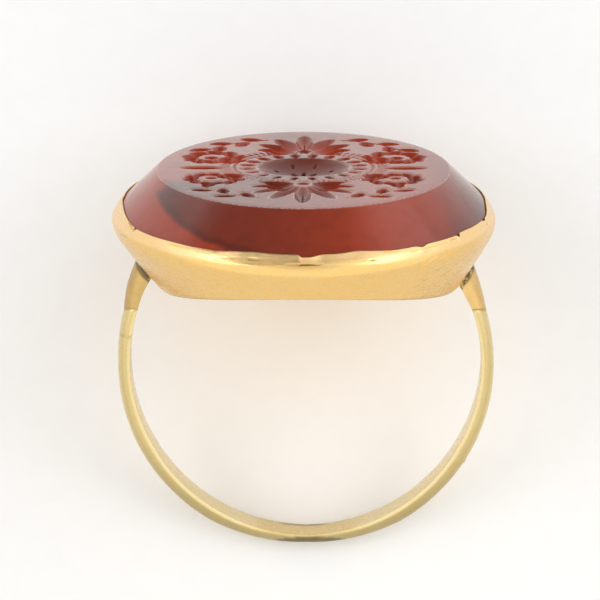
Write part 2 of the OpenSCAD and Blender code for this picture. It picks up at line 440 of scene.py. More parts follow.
def shape_bezel(cup):
    """Oval cup with an arched closed back and a worn lip rubbed over the stone."""
    # each profile point keeps its kind and value, and is placed by angle after the spin
    profile = [("under", f) for f in (0, 0.2, 0.4, 0.6, 0.8, 0.93, 0.985)]
    profile += [("rising", f) for f in (0.0, 0.02, 0.06, 0.2, 0.4, 0.6, 0.8)]
    profile += [("wall", p) for p in drawn(cup.wall, 0.05)] + [("lip", p) for p in cup.lip]
    profile += [("seat", p) for p in cup.seat] + [("inside", f) for f in (0.999, 0.7, 0.35, 0)]
    bm = bmesh.new()
    row = bm.verts.layers.int.new("row")
    grime_and_painted_light = bm.verts.layers.float.new("grime_and_painted_light")
    verts = []
    for k, (kind, value) in enumerate(profile):
        x = BLANK * value if kind in ("under", "inside") else BLANK
        verts.append(bm.verts.new((x, 0, k * 0.1)))
        verts[-1][row] = k
    edges = [bm.edges.new(pair) for pair in zip(verts, verts[1:])]
    bmesh.ops.spin(
        bm, geom=verts + edges, cent=(0, 0, 0), axis=(0, 0, 1), dvec=(0, 0, 0),
        angle=math.tau, steps=720, use_merge=True, use_normal_flip=False, use_duplicate=False,
    )
    bmesh.ops.remove_doubles(bm, verts=bm.verts, dist=1e-5)
    columns = {}
    for vert in bm.verts:
        t = math.atan2(vert.co.y, vert.co.x)
        turn = math.degrees(t)
        key = round(turn, 2)
        if key not in columns:
            foot, floor = cup.foot(cup.wall[0], t), cup.foot(cup.seat[-1], t, cup.plate)
            columns[key] = (lip_creep(turn), foot, floor)
        vert.co, vert[grime_and_painted_light] = bezel_point(cup, *profile[vert[row]], t, columns[key])
    return bm


# Hoop, shoulders and solder


# Places round the hoop in degrees: its foot, a nub on the right and a nick on the left
FOOT = -90.0
NUB = -33.0
NICK = -189.0
# Height angles in degrees at which the solder starts and the shoulders end, deep in the wall
SOLDER_FOOT = 24.0
SHOULDER_TOP = 32.0
# Depth in the bar at which the seams' angle is measured, and how far they lean forward
SEAM_DEPTH = 0.2275
SEAM_LEAN = 0.262


def half_round(bm, layers):
    """Section of the hoop as a closed loop, flat inside and round outside, soft at its edges."""
    out, side = layers
    # points as share of the thickness and share of the half-width, on a bar of rough size
    points = [(math.sin(s) ** 0.9, -math.cos(s)) for s in np.linspace(0, math.pi, 15)]
    points += [(-0.05 * math.sin(s), math.cos(s)) for s in np.linspace(0, math.pi, 7)[1:-1]]
    verts = []
    for o, v in points:
        vert = bm.verts.new((BLANK + 0.5 * o, 0.9 * v, 0))
        vert[out] = o
        vert[side] = v
        verts.append(vert)
    return verts + [bm.edges.new(pair) for pair in zip(verts, verts[1:] + verts[:1])]


def swept(start, stop, steps, place):
    """Half-round bar bent from one height angle to another in degrees, with its points placed."""
    bm = bmesh.new()
    out = bm.verts.layers.float.new("out")
    side = bm.verts.layers.float.new("side")
    grime_and_painted_light = bm.verts.layers.float.new("grime_and_painted_light")
    geom = half_round(bm, (out, side))
    bmesh.ops.rotate(
        bm, verts=bm.verts, cent=(0, 0, 0), matrix=Matrix.Rotation(-math.radians(start), 3, "Y")
    )
    bmesh.ops.spin(
        bm, geom=geom, cent=(0, 0, 0), axis=(0, -1, 0), dvec=(0, 0, 0),
        angle=math.radians(stop - start), steps=steps,
        use_merge=False, use_normal_flip=False, use_duplicate=False,
    )
    middle = (start + stop) / 2
    for vert in bm.verts:
        high = math.degrees(math.atan2(vert.co.z, vert.co.x))
        high += 360 * round((middle - high) / 360)
        vert.co, vert[grime_and_painted_light] = place(high, vert[out], vert[side])
    bmesh.ops.holes_fill(bm, edges=[e for e in bm.edges if e.is_boundary], sides=0)
    return bm


def twins(make):
    """Joins the piece on the right and its twin on the left."""
    both = bmesh.new()
    for side in (1, -1):
        arm = make(side)
        mesh = bpy.data.meshes.new("arm")
        arm.to_mesh(mesh)
        arm.free()
        both.from_mesh(mesh)
        bpy.data.meshes.remove(mesh)
    return both


class Band:
    """Sizes of the hoop and shoulders in millimetres, by height angle in degrees."""

    def __init__(self, hoop, cup):
        self.bore_r = hoop.bore / MM / 2
        self.seam = math.degrees(hoop.seam_angle)
        self.seam_height = (self.bore_r + SEAM_DEPTH) * math.sin(hoop.seam_angle)
        self.cup = cup
        low, side, drop = hoop.low / MM, hoop.side / MM, hoop.drop / MM
        self.thick = [
            (FOOT, hoop.foot / MM), (-60, low), (-30, low - 0.04), (0, side),
            (self.seam, side + 0.01), (SHOULDER_TOP, hoop.shoulder / MM),
        ]
        self.wide = [(self.seam, hoop.width / MM), (SHOULDER_TOP, hoop.shoulder_width / MM)]
        # pressed out of round, and share of the head's shift that the shoulders follow
        self.pressed = [(FOOT, drop), (-60, drop / 2), (-30, 0.02), (0, 0.04)]
        self.follow = [(0, 0), (self.seam, 0.4), (SOLDER_FOOT, 1)]

    def section(self, high, out, across, near=9.0):
        """Distance from the axis and along the finger, a little rounded near the seam."""
        thick = between(self.thick, high) * (1 - 0.03 * ease(0.3, 0, near))
        wide = between(self.wide, high) * (1 - 0.015 * ease(0.3, 0, near))
        return self.bore_r + between(self.pressed, high) + thick * out, wide / 2 * across

    def seam_at(self, rho, v):
        """Height angle of the seam, which was sawn straight across and leans forward."""
        return math.degrees(math.asin((self.seam_height - SEAM_LEAN * v) / rho))

    def spot(self, side, high, real, rho, v):
        """Point on one side at a real height angle, with the shift that high gives."""
        a = math.radians(real)
        shift = self.cup.shift * between(self.follow, high)
        return Vector((side * rho * math.cos(a) + shift, v, rho * math.sin(a)))

    def reach(self, rho, side, deep=0.2):
        """Height angle at which a point rho from the axis is deep in the bezel's wall."""
        (half, height), skew = self.cup.wall[0], self.cup.skew
        # the range of angles is halved until the wall is met
        low, high = 16.0, 50.0
        for _ in range(30):
            mid = (low + high) / 2
            z = rho * math.sin(math.radians(mid))
            wall = half + side * skew * (WIDEST - z) - deep - LEAN * (height - z)
            if rho * math.cos(math.radians(mid)) > wall:
                low = mid
            else:
                high = mid
        return low


def hoop_dirt_and_painted_light(turn, out, across, near):
    """Dirt in the hoop's seams and nick, painted shade and dark reflection round the foot, or below
    0 how much lighter it is: painted reflection on the inner face, and lighter along the outer
    crown.
    """
    foot = abs(turn - FOOT)
    # darker outside, most round the foot: painted shade and dark reflection
    skin = blend(0.20 * ease(0.9, 0.55, out), 0.42, ease(75, 30, foot)) * ease(0.0, 0.2, out)
    # painted dark reflection: a smudge in front of the foot, arched, and a line at its back edge
    dark_reflection = out - 0.7 * ((turn - FOOT - 1) / 11.5) ** 2 + 0.08 * waver(3 * out, 0.3 * turn, 5.0)
    line = ease(9.5, 5.0, abs(turn - FOOT + 1)) * ease(0.45, 0.9, across) * ease(0.5, 0.1, out)
    dirt = max(
        skin,
        0.38 * ease(0.8, 0.1, near),
        0.45 * hump(turn - NICK - 0.4, 0.5) * hump(across + 0.8, 0.3),
        0.88 * ease(0.0, 0.22, dark_reflection) * ease(0.3, -0.3, across),
        0.60 * line,
    )
    # painted reflection: the inner face is lighter away from the foot
    if out < 0.01 and dirt < 0.1:
        return -ease(10, 22, foot) * blend(0.45, 1.0, ease(95, 55, foot))
    # lighter along the outer crown
    if dirt < 0.04:
        return -0.7 * ease(0.75, 0.95, out)
    return dirt


def shape_hoop(band):
    """Worn half-round hoop between the two seams."""

    def place(turn, out, across):
        side = 1 if turn >= FOOT else -1
        high = turn if side > 0 else 2 * FOOT - turn
        near = band.seam - high
        rho, v = band.section(high, out, across, near)
        wear = 0.014 * waver(high / 20, side, 1.0) - 0.012
        wear += 0.045 * hump(turn - NUB, 0.55) * ease(0.2, 0.9, out)
        wear -= 0.035 * hump(turn - NICK, 0.9) * ease(-0.2, -0.9, across)
        rho += wear * max(out, 0)
        v *= 0.98 + 0.015 * waver(high / 25, side, 7.0)
        real = high + (band.seam_at(rho, v) - band.seam) * ease(14, 0, near)
        return band.spot(side, high, real, rho, v), hoop_dirt_and_painted_light(turn, out, across, near)

    return swept(-180 - band.seam, band.seam, 420, place)


def shape_shoulders(band):
    """Two flared arms from the seams into the bezel's wall."""

    def make(side):
        def place(high, out, across):
            near = high - band.seam
            rho, v = band.section(high, out, across, near)
            rho += (0.015 * waver(0.4 * high, 2 * across, 4.0 + side) - 0.012) * max(out, 0)
            share = near / (SHOULDER_TOP - band.seam)
            real = blend(band.seam_at(rho, v), band.reach(rho, side), share)
            # tarnish spreads from the solder at the top, unevenly
            spread = 0.68 + 0.08 * out + 0.06 * waver(2.5 * across, 2.5 * out, side)
            dirt = max(0.38 * ease(0.8, 0.1, near), 0.85 * ease(spread, spread + 0.10, share))
            if side < 0:
                # painted shade: darker all over on the left
                dirt = max(dirt, 0.24)
            return band.spot(side, high, real, rho, v), dirt

        return swept(band.seam, SHOULDER_TOP, 60, place)

    return twins(make)


def shape_solder(band):
    """Dark rough fillets where the shoulders were soldered to the wall."""

    def make(side):
        def place(high, out, across):
            share = (high - SOLDER_FOOT) / (SHOULDER_TOP - SOLDER_FOOT)
            rho, v = band.section(SHOULDER_TOP, out, across)
            # flares into the wall, and is rough and uneven at its foot
            rough = 0.04 * waver(3 * across, 3 * out, 9.0 + side + 2 * share)
            rho += (0.09 * share**2 + rough - 0.02) * (1.0 if out > 0.1 else -1.4)
            v *= 1 + 0.06 * share**2 + 0.5 * rough
            outer, inner = band.reach(rho, side, -0.19 + 1.5 * rough), band.reach(rho, side, 0.28)
            return band.spot(side, SHOULDER_TOP, blend(outer, inner, share), rho, v), 1.0

        return swept(SOLDER_FOOT, SHOULDER_TOP, 8, place)

    return twins(make)


# Seal


# Depth of most cuts, radius of the pearls, and how far the dish sits along the finger
LEAF_DEEP = 0.34
PEARL = 0.36
DISH_AT = 0.3
# Share of the table that is engraved, and clearance between the stone and the cup's floor
FIELD = 0.93
SEAT_GAP = 0.05
# Foot of the bevel, blunt girdle and bed as (distance inside the bezel's widest line, height)
STONE_SIDE = [(0.26, 8.05), (0.17, 7.70), (1.10, 6.30)]


def turned_to(angle):
    """Direction at an angle in degrees."""
    return np.array((math.cos(math.radians(angle)), math.sin(math.radians(angle))))


def blade(spot, long, wide, angle, vein=0.85):
    """Leaf-shaped hollow with a finer line along its middle."""
    x, y = spot
    return [
        (x, y, long, wide, angle, LEAF_DEEP),
        (x, y, vein * long, 0.2 * wide, angle, LEAF_DEEP + 0.09),
    ]


def pearl(x, y, r=PEARL, deep=LEAF_DEEP):
    """Round hollow of radius r."""
    return [(x, y, r, r, 0, deep)]


def palmette(y, first, step, long, drop):
    """Pearl with a fan of petals, each shorter than the one before."""
    cuts = pearl(0, y)
    for k in range(5):
        angle, r = first + k * step, long - k * drop
        cuts += blade((0, y) + (r + PEARL) * turned_to(angle), r, 0.45, angle)
    return cuts


def volute(x, y, first, step, r):
    """Pearl with lobes on a spiral that closes round it."""
    cuts = pearl(x, y)
    for k in range(11):
        angle = first + k * step
        spot = (x, y) + r * (1 - 0.045 * k) * turned_to(angle)
        cuts += blade(spot, 0.72 - 0.02 * k, 0.38, angle + math.copysign(62, step), 0.7)
    return cuts


def spray(a, b, bow, long):
    """Five leaves left and right of a bowed stem from a to b."""
    a, b = np.array(a), np.array(b)
    run = b - a
    cuts = []
    for k in range(5):
        share = k / 4
        heading = math.degrees(math.atan2(run[1], run[0])) + bow * 120 * (0.5 - share)
        stem = a + share * run + bow * math.sin(math.pi * share) * np.array((-run[1], run[0])) / 3
        angle = heading + (40 if k % 2 == 0 else -40)
        cuts += blade(stem + long * turned_to(angle), long, 0.37, angle)
        cuts.append((*stem, 0.42, 0.075, heading, 0.2))
    return cuts


def seal_cuts():
    """Wheel cuts on the right half as (x, y, half-length, half-width, turn, depth)."""
    cuts = [(0, DISH_AT, 2.4, 2.1, 0, 0.6)]
    # rings of flutes, fine beads and rays round the dish, and a small star with dots inside it
    for n, first, size, long, wide, deep in (
        (20, 0.5, (2.84, 2.54), 0.44, 0.27, 0.26),
        (76, 0.5, (3.48, 3.14), 0.105, 0.105, 0.12),
        (72, 0.5, (3.98, 3.64), 0.34, 0.075, 0.14),
        (8, 0.0, (0.62, 0.62), 0.46, 0.17, 0.78),
        (8, 0.5, (1.45, 1.45), 0.24, 0.10, 0.56),
    ):
        for k in range(n):
            angle = (k + first) * 360 / n
            x, y = turned_to(angle) * size
            cuts.append((x, y + DISH_AT, long, wide, angle, deep))
    cuts += pearl(0, DISH_AT, 0.16, 0.8)
    cuts += palmette(3.9, 90, -27, 1.7, 0.22) + palmette(-3.35, -90, 25, 1.95, 0.25)
    cuts += volute(4.7, 2.35, 215, -38, 1.4) + volute(4.55, -2.15, 145, 38, 1.35)
    cuts += blade((5.1, 0.1), 1.15, 0.4, 0)
    cuts += spray((2.2, 6.5), (4.8, 4.4), 0.3, 0.6) + spray((2.4, -6.4), (4.75, -4.25), -0.3, 0.64)
    return cuts


def seal_depth(x, y):
    """Depth of the engraving at points of the table."""
    x = np.abs(x)
    depth = np.zeros_like(x)
    for cx, cy, long, wide, turn, deep in seal_cuts():
        c, s = turned_to(turn)
        dx, dy = x - cx, y - cy
        p, q = (dx * c + dy * s) / long, (dy * c - dx * s) / wide
        depth = np.maximum(depth, deep * (1 - p * p - q * q))
    return depth


def shape_stone(stone, cup):
    """Engraved table, one broad bevel all round, a blunt girdle and the hidden lower side."""
    a, b, h = stone.width / MM / 2, stone.length / MM / 2, stone.height / MM
    bevel, girdle, bed = (Vector(point) for point in cup.outward(STONE_SIDE))
    under = cup.plate + SEAT_GAP
    bm = bmesh.new()
    cut = bm.verts.layers.float.new("cut")
    worn = bm.verts.layers.float.new("worn")
    turn = bm.verts.layers.float.new("turn")
    bmesh.ops.create_grid(bm, x_segments=stone.cells, y_segments=stone.cells, size=1)
    p, q = np.array([v.co[:2] for v in bm.verts]).T
    # the square grid is drawn out to the oval field
    x = FIELD * a * p * np.sqrt(1 - q * q / 2)
    y = FIELD * b * q * np.sqrt(1 - p * p / 2)
    depth = seal_depth(x, y)
    # the field's border stays flat
    depth[(np.abs(p) > 0.9999) | (np.abs(q) > 0.9999)] = 0
    for vert, px, py, deep in zip(bm.verts, x, y, depth):
        vert.co = (px + cup.shift, py, h - deep)
        vert[cut] = deep
        vert[turn] = math.atan2(py / b, px / a)
    # rings down the bevel to the bed, as half-width, height and length over width
    edge, flat, r = Vector((a, h)), b / a, stone.edge / MM
    slope = (bevel - edge).normalized()
    rings = [edge + Vector((-r, 0)), edge + Vector((-0.3 * r, -0.1 * r))]
    rings += [edge + 0.4 * r * slope + Vector((-0.08 * r, -0.08 * r)), edge + r * slope]
    rings += [edge + (bevel - edge) * k / 10 for k in range(1, 11)]
    rings = [(u, z, blend(flat, cup.oval, ease(0, 1, (u - a) / (bevel[0] - a)))) for u, z in rings]
    rings += [(*girdle, cup.oval), (*bed, cup.oval)]
    border = [e for e in bm.edges if e.is_boundary]
    for k, ring in enumerate(rings + [0.999, 0.66, 0.33]):
        grown = bmesh.ops.extrude_edge_only(bm, edges=border)["geom"]
        border = [e for e in grown if isinstance(e, bmesh.types.BMEdge) and e.is_boundary]
        for vert in {v for e in border for v in e.verts}:
            t = vert[turn]
            if isinstance(ring, float):
                u = ring * cup.foot(bed, t, under)[0]
                z, stretch = cup.arched(u * math.cos(t), under), cup.oval
            else:
                u, z, stretch = ring
            vert.co = cup.place(u, z, t, stretch)
            # the rings of the worn edge, which carry its chips and a painted highlight
            vert[worn] = float(k in (1, 2))
    rim = [v for v in bm.verts if v.is_boundary]
    bmesh.ops.pointmerge(bm, verts=rim, merge_co=cup.place(0, cup.arched(0, under), 0))
    return bm


# Materials


def feed(tree, node, inputs):
    """Sets or links a node's inputs."""
    for name, value in inputs.items():
        if isinstance(value, bpy.types.NodeSocket):
            tree.links.new(value, node.inputs[name])
        else:
            node.inputs[name].default_value = value


def add(tree, kind, inputs=None, **settings):
    """Adds a node with its settings, and sets or links its inputs."""
    node = tree.nodes.new(kind)
    for name, value in settings.items():
        setattr(node, name, value)
    feed(tree, node, inputs or {})
    return node


def new_material(name):
    """An empty node material, with its tree and its principled shader."""
    material = bpy.data.materials.new(name)
    material.use_nodes = True
    tree = material.node_tree
    return material, tree, tree.nodes["Principled BSDF"]


def upright(tree):
    """Object coordinates turned back to the ring's upright millimetres."""
    place = add(tree, "ShaderNodeTexCoord").outputs["Object"]
    return add(
        tree, "ShaderNodeMapping",
        {"Vector": place, "Location": RESTS_AT * MM, "Rotation": (LIE - math.pi / 2, 0, 0),
         "Scale": (MM, MM, MM)},
        vector_type="TEXTURE",
    ).outputs["Vector"]


def noisy(tree, vector, size, detail=2.0, stretch=(1, 1, 1), turn=(0, 0, 0), rough=0.5):
    """Noise with features of a size in millimetres, stretched along turned axes."""
    scale = [1 / (size * s) for s in stretch]
    vector = add(
        tree, "ShaderNodeMapping", {"Vector": vector, "Rotation": turn}
    ).outputs["Vector"]
    vector = add(tree, "ShaderNodeMapping", {"Vector": vector, "Scale": scale}).outputs["Vector"]
    return add(
        tree, "ShaderNodeTexNoise",
        {"Vector": vector, "Scale": 1.0, "Detail": detail, "Roughness": rough},
    ).outputs["Fac"]


def ranged(tree, value, low, high, to_low=0.0, to_high=1.0, smooth=True):
    """A value mapped from one range to another, and clamped."""
    return add(
        tree, "ShaderNodeMapRange",
        {"Value": value, "From Min": low, "From Max": high, "To Min": to_low, "To Max": to_high},
        interpolation_type="SMOOTHSTEP" if smooth else "LINEAR",
    ).outputs["Result"]


def math_of(tree, operation, a, b):
    """One arithmetic step."""
    return add(tree, "ShaderNodeMath", {0: a, 1: b}, operation=operation).outputs["Value"]


def mixed(tree, factor, a, b):
    """Colour from a to b."""
    node = add(tree, "ShaderNodeMix", data_type="RGBA")
    at = {socket.identifier: k for k, socket in enumerate(node.inputs)}
    a, b = (c if isinstance(c, bpy.types.NodeSocket) else (*c, 1) for c in (a, b))
    feed(tree, node, {at["Factor_Float"]: factor, at["A_Color"]: a, at["B_Color"]: b})
    return next(socket for socket in node.outputs if socket.identifier == "Result_Color")


def blend_colour(a, b, t):
    """Colour from a to b at the share t."""
    return [blend(x, y, t) for x, y in zip(a, b)]


def shaded(colour, share):
    """A colour made darker or lighter."""
    return [share * c for c in colour]


def ramp_of(tree, value, stops):
    """A value looked up in a table of (value, result) pairs, eased between them."""
    low, high = stops[0][0], stops[-1][0]
    node = add(tree, "ShaderNodeValToRGB")
    node.color_ramp.interpolation = "B_SPLINE"
    ends = node.color_ramp.elements
    for k, (x, shade) in enumerate(stops):
        x = (x - low) / (high - low)
        stop = ends[0] if k == 0 else ends[-1] if k == len(stops) - 1 else ends.new(x)
        stop.position = x
        stop.color = (shade, shade, shade, 1)
    tree.links.new(ranged(tree, value, low, high, smooth=False), node.inputs["Fac"])
    return node.outputs["Color"]


def product(tree, first, *others):
    """Values multiplied together."""
    for other in others:
        first = math_of(tree, "MULTIPLY", first, other)
    return first


def measured(tree, operation, a, b):
    """Number from two vectors: their distance, or how far one lies along the other."""
    return add(tree, "ShaderNodeVectorMath", {0: a, 1: b}, operation=operation).outputs["Value"]


def carried(tree, name):
    """A value that the piece's own attribute carries, such as its dirt and painted light and shade.
    """
    return add(tree, "ShaderNodeAttribute", attribute_name=name).outputs["Fac"]


def bumped(tree, heights):
    """Normal from layers of height, each with the depth of its marks in millimetres."""
    normal = None
    for height, depth in heights:
        inputs = {"Height": height, "Distance": depth * MM, "Strength": 1.0}
        if normal:
            inputs["Normal"] = normal
        normal = add(tree, "ShaderNodeBump", inputs).outputs["Normal"]
    return normal


# Middle of the file marks on the wall
FILED_AT = (6.9, -7.2, 6.9)


def gold_material(name, base, other, tarnish, wide, filed):
    """Worn polished gold: satin sheen from fine rubbing, soft mottling and dark seams, and the
    painted highlight and shade that the piece's attribute carries.
    """
    material, tree, shader = new_material(name)
    place = upright(tree)
    grime_and_painted_light = carried(tree, "grime_and_painted_light")
    # mottling of the alloy, about 0.6 mm across
    mottle = ranged(tree, noisy(tree, place, 0.6, 4.0, rough=0.65), 0.35, 0.7)
    hue = mixed(tree, mottle, base, other)
    # dull skin that gathers in low places, about 0.4 mm across
    skin = ranged(tree, noisy(tree, place, 0.4, 4.0, rough=0.65), 0.48, 0.72, 0.0, 0.14)
    hue = mixed(tree, skin, hue, shaded(base, 0.72))
    # paler where it is rubbed bright, and where a highlight or reflection is painted
    bright = [min(0.97, 0.12 + 0.95 * c) for c in base]
    hue = mixed(tree, ranged(tree, grime_and_painted_light, 0.0, -1.0), hue, bright)
    # towards tarnish where there is dirt, and where shade or a dark reflection is painted
    hue = mixed(tree, ranged(tree, grime_and_painted_light, 0.0, 1.0, smooth=False), hue, tarnish)
    # soft dents about 1 mm across, and fine rub marks, drawn 0.06 mm wide so that they show
    rubbed = noisy(tree, place, 0.06, 2.0, stretch=wide)
    heights = [(noisy(tree, place, 1.1, 1.0), 0.010), (rubbed, 0.0014)]
    if filed:
        # file marks about 0.2 mm apart that climb the wall on the right
        files = noisy(tree, place, 0.11, 1.0, stretch=(14, 1, 1), turn=(0, 0.45, -0.69))
        height = add(tree, "ShaderNodeSeparateXYZ", {"Vector": place}).outputs["Z"]
        share = ranged(tree, measured(tree, "DISTANCE", place, FILED_AT), 3.6, 1.8)
        share = product(tree, share, ranged(tree, height, 7.7, 7.3))
        heights.append((product(tree, files, share), 0.036))
    rough = ranged(tree, rubbed, 0.3, 0.7, 0.20, 0.34)
    rough = math_of(tree, "ADD", rough, ranged(tree, grime_and_painted_light, 0.0, 1.0, 0.0, 0.35, smooth=False))
    metal = ranged(tree, grime_and_painted_light, 0.2, 1.0, 1.0, 0.25)
    normal = bumped(tree, heights)
    feed(
        tree, shader,
        {"Base Color": hue, "Roughness": rough, "Metallic": metal, "Normal": normal},
    )
    return material


def solder_material(name, base, tarnish):
    """Tarnished hard solder: rough and pitted, olive brown with gold showing through."""
    material, tree, shader = new_material(name)
    place = upright(tree)
    patch = ranged(tree, noisy(tree, place, 0.35, 4.0, rough=0.6), 0.46, 0.66)
    grey = [0.5 * (c + 0.16) for c in tarnish]
    hue = mixed(tree, patch, tarnish, base)
    hue = mixed(tree, ranged(tree, noisy(tree, place, 0.8, 2.0), 0.5, 0.65), hue, grey)
    metal = ranged(tree, patch, 0, 1, 0.2, 0.9)
    rough = ranged(tree, patch, 0, 1, 0.65, 0.4)
    pits = bumped(tree, [(noisy(tree, place, 0.15, 3.0), 0.03)])
    feed(
        tree, shader,
        {"Base Color": hue, "Roughness": rough, "Metallic": metal, "Normal": pits},
    )
    return material


# The smoky veil as a leaning plane, which also bounds painted light and shade in the stone: the way
# it faces, and how far it lies from the hoop's middle
VEIL_AND_SHADE_FACES = (0.0687, -0.1681, 0.9834)
VEIL_AND_SHADE_AT = 9.5039
# Middle of the dish in the table, which has the head's shift
DISH = (-0.12, DISH_AT, 9.6)
# Painted light that comes through the stone by place across the finger, in millimetres from its
# middle
PAINTED_LIGHT_THROUGH = [
    (-9.0, 0.10), (-6.6, 0.06), (-5.4, 0.28), (-2.4, 0.38), (-0.6, 0.48), (1.8, 0.74),
    (3.2, 0.94), (4.4, 0.92), (5.4, 0.84), (6.6, 0.70), (7.8, 0.20), (9.0, 0.05),
]


def carnelian_material(colours):
    """Polished carnelian, a translucent chalcedony: red-brown, with painted light through it that
    makes it brighter to the right, a smoky veil that crosses its left side with painted light left
    of it and painted shade along it, painted light and shade in the cuts, and a matt floor where the
    wheel has cut it."""
    material, tree, shader = new_material("polished_carnelian")
    painted_glow, smoke_and_shade = list(colours.painted_glow), list(colours.smoke_and_shade)
    place = upright(tree)
    u, v, w = add(tree, "ShaderNodeSeparateXYZ", {"Vector": place}).outputs
    cut = carried(tree, "cut")
    cloud = math_of(tree, "SUBTRACT", noisy(tree, place, 1.6, 3.0), 0.5)
    through = ramp_of(tree, math_of(tree, "ADD", u, product(tree, cloud, 1.6)), PAINTED_LIGHT_THROUGH)
    hue = mixed(tree, through, smoke_and_shade, painted_glow)
    # the veil is a leaning plane: painted light makes the stone lighter left of it, and a dark line
    # of painted shade runs along it
    side = math_of(tree, "SUBTRACT", measured(tree, "DOT_PRODUCT", place, VEIL_AND_SHADE_FACES), VEIL_AND_SHADE_AT)
    side = math_of(tree, "ADD", side, product(tree, cloud, 0.3))
    side = math_of(tree, "SUBTRACT", side, ranged(tree, w, 9.45, 9.9, 0.0, 0.43))
    near = ranged(tree, u, -1.0, -3.0)
    left = product(tree, ranged(tree, side, 0.10, -0.18), near)
    hue = mixed(tree, left, hue, blend_colour(smoke_and_shade, painted_glow, 0.92))
    line = product(tree, ranged(tree, side, -0.14, 0.06), ranged(tree, side, 0.32, 0.08), near)
    hue = mixed(tree, product(tree, line, 0.45), hue, shaded(smoke_and_shade, 0.6))
    # painted light comes through the cuts on the far side, and painted shade darkens the near ones
    # and the dish
    hollow = ranged(tree, cut, 0.03, 0.30)
    dish = ranged(tree, measured(tree, "DISTANCE", place, DISH), 2.75, 2.15)
    far = product(tree, ranged(tree, v, 0.2, 4.0), ranged(tree, dish, 1.0, 0.0))
    hue = mixed(tree, product(tree, hollow, far, 0.8), hue, shaded(painted_glow, 1.15))
    near_cut_shade = product(tree, hollow, ranged(tree, v, 2.0, -1.0), 0.32)
    hue = mixed(tree, near_cut_shade, hue, shaded(smoke_and_shade, 0.5))
    hue = mixed(tree, product(tree, dish, 0.45), hue, shaded(smoke_and_shade, 0.5))
    # a haze of fine rubbing and painted sheen on the table, stronger on its far side
    polished = product(tree, ranged(tree, w, 9.90, 9.95), ranged(tree, cut, 0.02, 0.0))
    haze_and_sheen = product(tree, polished, ranged(tree, v, -6.0, 3.0, 0.06, 0.17))
    haze_and_sheen = product(tree, haze_and_sheen, ranged(tree, u, 3.0, 7.0, 1.0, 0.45))
    hue = mixed(tree, haze_and_sheen, hue, list(colours.haze_and_sheen))
    # painted glints along the rims of the near cuts, and the table's worn edge, chipped and with a
    # painted highlight
    burr_glint = product(tree, ranged(tree, cut, 0.0, 0.015), ranged(tree, cut, 0.10, 0.03))
    burr_glint = product(tree, burr_glint, ranged(tree, v, 2.5, -1.0), 0.60)
    chips = ranged(tree, noisy(tree, place, 0.15, 3.0), 0.40, 0.60, 0.10, 0.50)
    pale = math_of(tree, "MAXIMUM", burr_glint, product(tree, carried(tree, "worn"), chips))
    hue = mixed(tree, pale, hue, list(colours.burr_glint))
    # small clouds and pinprick inclusions, about 0.6 and 0.12 mm across
    small = ranged(tree, noisy(tree, place, 0.6, 3.0), 0.45, 0.70, 0.0, 0.16)
    hue = mixed(tree, small, hue, shaded(smoke_and_shade, 0.8))
    specks = ranged(tree, noisy(tree, place, 0.12, 1.0), 0.70, 0.78, 0.0, 0.35)
    hue = mixed(tree, specks, hue, smoke_and_shade)
    # the polish is worn a little, and the cuts are matt and dull
    rub = noisy(tree, place, 0.5, 5.0, rough=0.7)
    matt = ranged(tree, cut, 0.01, 0.2, 0.0, 0.10)
    rough = math_of(tree, "ADD", ranged(tree, rub, 0.3, 0.7, 0.07, 0.15), matt)
    fine = noisy(tree, place, 0.10, 3.0, rough=0.6)
    heights = [(noisy(tree, place, 1.6, 1.0), 0.012), (fine, 0.0012)]
    feed(
        tree, shader,
        {"Base Color": hue, "Roughness": rough, "Normal": bumped(tree, heights), "IOR": 1.54,
         "Specular IOR Level": ranged(tree, cut, 0.02, 0.2, 0.5, 0.28),
         "Subsurface Weight": 0.35, "Subsurface Radius": (1.0, 0.22, 0.12),
         "Subsurface Scale": 1.0 * MM},
    )
    return material


def paper_material(colour):
    """Matt white backdrop paper, faintly mottled by its fibres."""
    material, tree, shader = new_material("backdrop_paper")
    place = add(tree, "ShaderNodeTexCoord").outputs["Object"]
    # fibres about 1.1 mm long
    fibre = add(tree, "ShaderNodeTexNoise", {"Vector": place, "Scale": 900.0}).outputs["Fac"]
    hue = mixed(tree, ranged(tree, fibre, 0.3, 0.7), shaded(colour, 0.985), colour)
    feed(tree, shader, {"Base Color": hue, "Roughness": 0.9})
    return material


# Light and camera


# Camera that sees the ring as the photograph does: its place and target in millimetres, its roll
# in degrees and its focal length on a 36 mm frame
CAMERA_AT = (1.3144, -53.1978, 179.1490)
CAMERA_TO = (-0.205, 0.2958, 7.2881)
CAMERA_ROLL = -1.4266
CAMERA_LENS = 214.056
# Strength of the white room, and its parts that differ: the way to each, the cosines between which
# it fades in, and its shade. Two lie overhead and are darker, and two are windows at the sides.
ROOM_LIGHT = 1.27
ROOM = [
    ((-0.18, 0.74, 0.65), 0.62, 0.90, (0.27, 0.26, 0.25)),
    ((0, -0.297, 0.955), 0.86, 0.97, (0.68, 0.67, 0.66)),
    ((-0.90, 0.10, 0.43), 0.90, 0.97, (1.10, 1.10, 1.10)),
    ((0.90, 0.10, 0.43), 0.90, 0.97, (1.10, 1.10, 1.10)),
]


def lay_floor(paper):
    """Round sheet of paper 5 m across, 0.02 mm under the ring so that nothing dips into it."""
    bm = bmesh.new()
    bmesh.ops.create_circle(bm, cap_ends=True, radius=2.5, segments=64)
    bmesh.ops.translate(bm, verts=bm.verts, vec=(0, 0, -0.02 * MM))
    floor = meshed(bm, "floor", paper)


